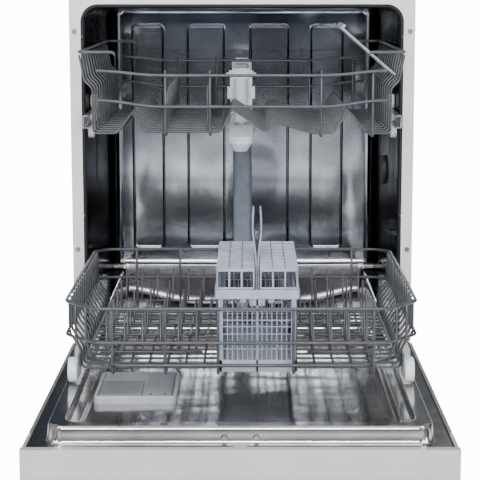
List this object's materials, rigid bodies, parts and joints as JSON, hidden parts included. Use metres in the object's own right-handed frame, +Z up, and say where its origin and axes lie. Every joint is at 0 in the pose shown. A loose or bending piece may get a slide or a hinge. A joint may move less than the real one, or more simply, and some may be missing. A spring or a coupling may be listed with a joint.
{
  "type": "built in dishwasher",
  "caption": "Built in dishwasher with its door open, lower basket drawn out over the door and upper basket half out of the steel tub.",
  "frame": {"origin": "on the floor, midway across the width and midway between the open door's end and the back", "axes": "+Z up, +Y towards the back, +X to the right seen from the front"},
  "size_m": [0.598, 1.175, 0.82],
  "materials": {
    "white_enamel": "light grey enamel, satin",
    "screw_steel": "zinc plated",
    "gasket_rubber": "moulded EPDM",
    "tub_steel": "bright annealed stainless",
    "dark_plastic": "moulded",
    "bitumen_felt": "felt over bitumen",
    "galvanised_sheet": "galvanised",
    "base_plastic": "moulded polypropylene",
    "ballast_iron": "cast",
    "pump_plastic": "moulded",
    "blue_grey_plastic": "moulded polypropylene",
    "spring_steel": "oiled",
    "foot_plastic": "moulded",
    "brushed_panel": "brushed",
    "silver_fascia": "silver satin",
    "circuit_board": "laminate",
    "latch_plastic": "moulded",
    "dispenser_plastic": "moulded",
    "button_plastic": "moulded",
    "wire_nylon": "nylon coated steel wire",
    "wheel_plastic": "moulded",
    "cutlery_plastic": "moulded",
    "duct_plastic": "moulded",
    "shelf_plastic": "translucent",
    "rail_steel": "rolled"
  },
  "bodies": {
    "tub": {"front_frame": "white_enamel", "frame_screws": "screw_steel", "door_gasket": "gasket_rubber", "tub_wrapper": "tub_steel", "tub_rear_wall": "tub_steel", "tub_floor_pan": "tub_steel", "steam_vent_cap": "dark_plastic", "insulation_blanket": "bitumen_felt", "side_panels": "galvanised_sheet", "rear_frame": "galvanised_sheet", "top_mount_brackets": "galvanised_sheet", "base_tray": "base_plastic", "ballast_block": "ballast_iron", "sump_housing": "base_plastic", "fine_filter_plate": "tub_steel", "circulation_pump": "pump_plastic", "drain_pump": "pump_plastic", "water_bulkhead": "base_plastic", "junction_box": "base_plastic", "riser_pipe": "blue_grey_plastic", "hinge_brackets": "galvanised_sheet", "door_springs": "spring_steel"},
    "filter": {"coarse_filter": "blue_grey_plastic"},
    "float": {"overfill_float": "blue_grey_plastic"},
    "foot_front_left": {"foot_front_left": "foot_plastic"},
    "foot_front_right": {"foot_front_right": "foot_plastic"},
    "foot_rear_left": {"foot_rear_left": "foot_plastic"},
    "foot_rear_right": {"foot_rear_right": "foot_plastic"},
    "lower_arm": {"lower_spray_arm": "blue_grey_plastic"},
    "door": {"door_liner": "tub_steel", "door_outer_panel": "brushed_panel", "door_edge_seals": "gasket_rubber", "control_fascia": "silver_fascia", "control_board": "circuit_board", "door_latch": "latch_plastic", "door_screws": "screw_steel", "hinge_arms": "galvanised_sheet", "dispenser_housing": "dispenser_plastic"},
    "detergent_lid": {"detergent_lid": "dispenser_plastic"},
    "rinse_aid_lid": {"rinse_aid_lid": "dispenser_plastic"},
    "power_button": {"power_button": "button_plastic"},
    "start_button": {"start_button": "button_plastic"},
    "lower_basket": {"lower_basket_frame": "wire_nylon", "lower_wheel_carriers": "wheel_plastic"},
    "lower_folding_tines": {"lower_folding_tines": "wire_nylon"},
    "lower_wheels_front": {"lower_wheels_front": "wheel_plastic"},
    "lower_wheels_rear": {"lower_wheels_rear": "wheel_plastic"},
    "cutlery_basket": {"cutlery_basket": "cutlery_plastic"},
    "cutlery_lid_left": {"cutlery_lid_left": "cutlery_plastic"},
    "cutlery_lid_right": {"cutlery_lid_right": "cutlery_plastic"},
    "upper_basket": {"upper_basket_frame": "wire_nylon", "upper_feed_duct": "duct_plastic"},
    "upper_arm": {"upper_spray_arm": "duct_plastic"},
    "upper_folding_tines": {"upper_folding_tines": "wire_nylon"},
    "cup_shelf": {"cup_shelf": "shelf_plastic"},
    "upper_rails": {"upper_rails": "rail_steel"},
    "upper_wheels_front": {"upper_wheels_front": "wheel_plastic"},
    "upper_wheels_rear": {"upper_wheels_rear": "wheel_plastic"},
    "tub_rollers_lower": {"tub_rollers_lower": "wheel_plastic"},
    "tub_rollers_upper": {"tub_rollers_upper": "wheel_plastic"}
  },
  "joints": [
    {"name": "filter_turn", "type": "hinge", "parent": "tub", "child": "filter", "pos_m": [0, 0.1675, 0.15], "axis": [0, 0, 1], "range_deg": [0, 90]},
    {"name": "float_lift", "type": "slide", "parent": "tub", "child": "float", "axis": [0, 0, 1], "range_m": [0, 0.008]},
    {"name": "foot_front_left_turn", "type": "hinge", "parent": "tub", "child": "foot_front_left", "pos_m": [-0.262, 0.1495, 0.02], "axis": [0, 0, 1], "continuous": true},
    {"name": "foot_front_right_turn", "type": "hinge", "parent": "tub", "child": "foot_front_right", "pos_m": [0.262, 0.1495, 0.02], "axis": [0, 0, 1], "continuous": true},
    {"name": "foot_rear_left_turn", "type": "hinge", "parent": "tub", "child": "foot_rear_left", "pos_m": [-0.262, 0.5295, 0.02], "axis": [0, 0, 1], "continuous": true},
    {"name": "foot_rear_right_turn", "type": "hinge", "parent": "tub", "child": "foot_rear_right", "pos_m": [0.262, 0.5295, 0.02], "axis": [0, 0, 1], "continuous": true},
    {"name": "lower_arm_spin", "type": "hinge", "parent": "tub", "child": "lower_arm", "pos_m": [-0.011, 0.2775, 0.185], "axis": [0, 0, 1], "continuous": true},
    {"name": "door_hinge", "type": "hinge", "parent": "tub", "child": "door", "pos_m": [0, 0.0235, 0.188], "axis": [-1, 0, 0], "range_deg": [0, 0.3]},
    {"name": "detergent_lid_slide", "type": "slide", "parent": "door", "child": "detergent_lid", "axis": [0, 1, 0], "range_m": [0, 0.042]},
    {"name": "rinse_aid_lid_hinge", "type": "hinge", "parent": "door", "child": "rinse_aid_lid", "pos_m": [-0.124, -0.2655, 0.2135], "axis": [-1, 0, 0], "range_deg": [0, 10]},
    {"name": "power_button_press", "type": "slide", "parent": "door", "child": "power_button", "axis": [0, 0, 1], "range_m": [0, 0.002], "stiffness_N_per_m": 400},
    {"name": "start_button_press", "type": "slide", "parent": "door", "child": "start_button", "axis": [0, 0, 1], "range_m": [0, 0.002], "stiffness_N_per_m": 400},
    {"name": "lower_basket_slide", "type": "slide", "parent": "tub", "child": "lower_basket", "axis": [0, 1, 0], "range_m": [-0.04, 0.441]},
    {"name": "lower_tines_fold", "type": "hinge", "parent": "lower_basket", "child": "lower_folding_tines", "pos_m": [0, -0.0425, 0.266], "axis": [-1, 0, 0], "range_deg": [0, 78]},
    {"name": "lower_wheels_front_roll", "type": "hinge", "parent": "lower_basket", "child": "lower_wheels_front", "pos_m": [0, -0.3405, 0.24545], "axis": [1, 0, 0], "continuous": true},
    {"name": "lower_wheels_rear_roll", "type": "hinge", "parent": "lower_basket", "child": "lower_wheels_rear", "pos_m": [0, 0.0595, 0.24545], "axis": [1, 0, 0], "continuous": true},
    {"name": "cutlery_basket_lift", "type": "slide", "parent": "lower_basket", "child": "cutlery_basket", "axis": [0, 0, -1], "range_m": [-0.25, 0]},
    {"name": "cutlery_lid_left_hinge", "type": "hinge", "parent": "cutlery_basket", "child": "cutlery_lid_left", "pos_m": [-0.0365, -0.2685, 0.3783], "axis": [0, -1, 0], "range_deg": [0, 90]},
    {"name": "cutlery_lid_right_hinge", "type": "hinge", "parent": "cutlery_basket", "child": "cutlery_lid_right", "pos_m": [0.0845, -0.2685, 0.3783], "axis": [0, 1, 0], "range_deg": [0, 90]},
    {"name": "upper_basket_slide", "type": "slide", "parent": "tub", "child": "upper_basket", "axis": [0, -1, 0], "range_m": [-0.172, 0.2]},
    {"name": "upper_arm_spin", "type": "hinge", "parent": "upper_basket", "child": "upper_arm", "pos_m": [-0.0025, 0.14225, 0.558], "axis": [0, 0, 1], "continuous": true},
    {"name": "upper_tines_fold", "type": "hinge", "parent": "upper_basket", "child": "upper_folding_tines", "pos_m": [-0.057, 0.1175, 0.5865], "axis": [0, -1, 0], "range_deg": [0, 72]},
    {"name": "cup_shelf_fold", "type": "hinge", "parent": "upper_basket", "child": "cup_shelf", "pos_m": [0.252, -0.0295, 0.676], "axis": [0, 1, 0], "range_deg": [-38, 12]},
    {"name": "upper_rails_slide", "type": "slide", "parent": "tub", "child": "upper_rails", "axis": [0, -1, 0], "range_m": [-0.09, 0.105]},
    {"name": "upper_wheels_front_roll", "type": "hinge", "parent": "upper_basket", "child": "upper_wheels_front", "pos_m": [0, 0.0895, 0.591], "axis": [1, 0, 0], "continuous": true},
    {"name": "upper_wheels_rear_roll", "type": "hinge", "parent": "upper_basket", "child": "upper_wheels_rear", "pos_m": [0, 0.3435, 0.591], "axis": [1, 0, 0], "continuous": true},
    {"name": "tub_rollers_lower_roll", "type": "hinge", "parent": "tub", "child": "tub_rollers_lower", "pos_m": [0, 0.0775, 0.5672], "axis": [1, 0, 0], "continuous": true},
    {"name": "tub_rollers_upper_roll", "type": "hinge", "parent": "tub", "child": "tub_rollers_upper", "pos_m": [0, 0.1295, 0.6148], "axis": [1, 0, 0], "continuous": true}
  ],
  "couplings": [
    {"joint": "lower_wheels_front_roll", "follows": "lower_basket_slide", "rad_per_m": -53.05},
    {"joint": "lower_wheels_rear_roll", "follows": "lower_basket_slide", "rad_per_m": -53.05},
    {"joint": "upper_rails_slide", "follows": "upper_basket_slide", "ratio": 0.5},
    {"joint": "upper_wheels_front_roll", "follows": "upper_basket_slide", "rad_per_m": 54.348},
    {"joint": "upper_wheels_rear_roll", "follows": "upper_basket_slide", "rad_per_m": 54.348},
    {"joint": "tub_rollers_lower_roll", "follows": "upper_basket_slide", "rad_per_m": 38.462},
    {"joint": "tub_rollers_upper_roll", "follows": "upper_basket_slide", "rad_per_m": -38.462}
  ]
}
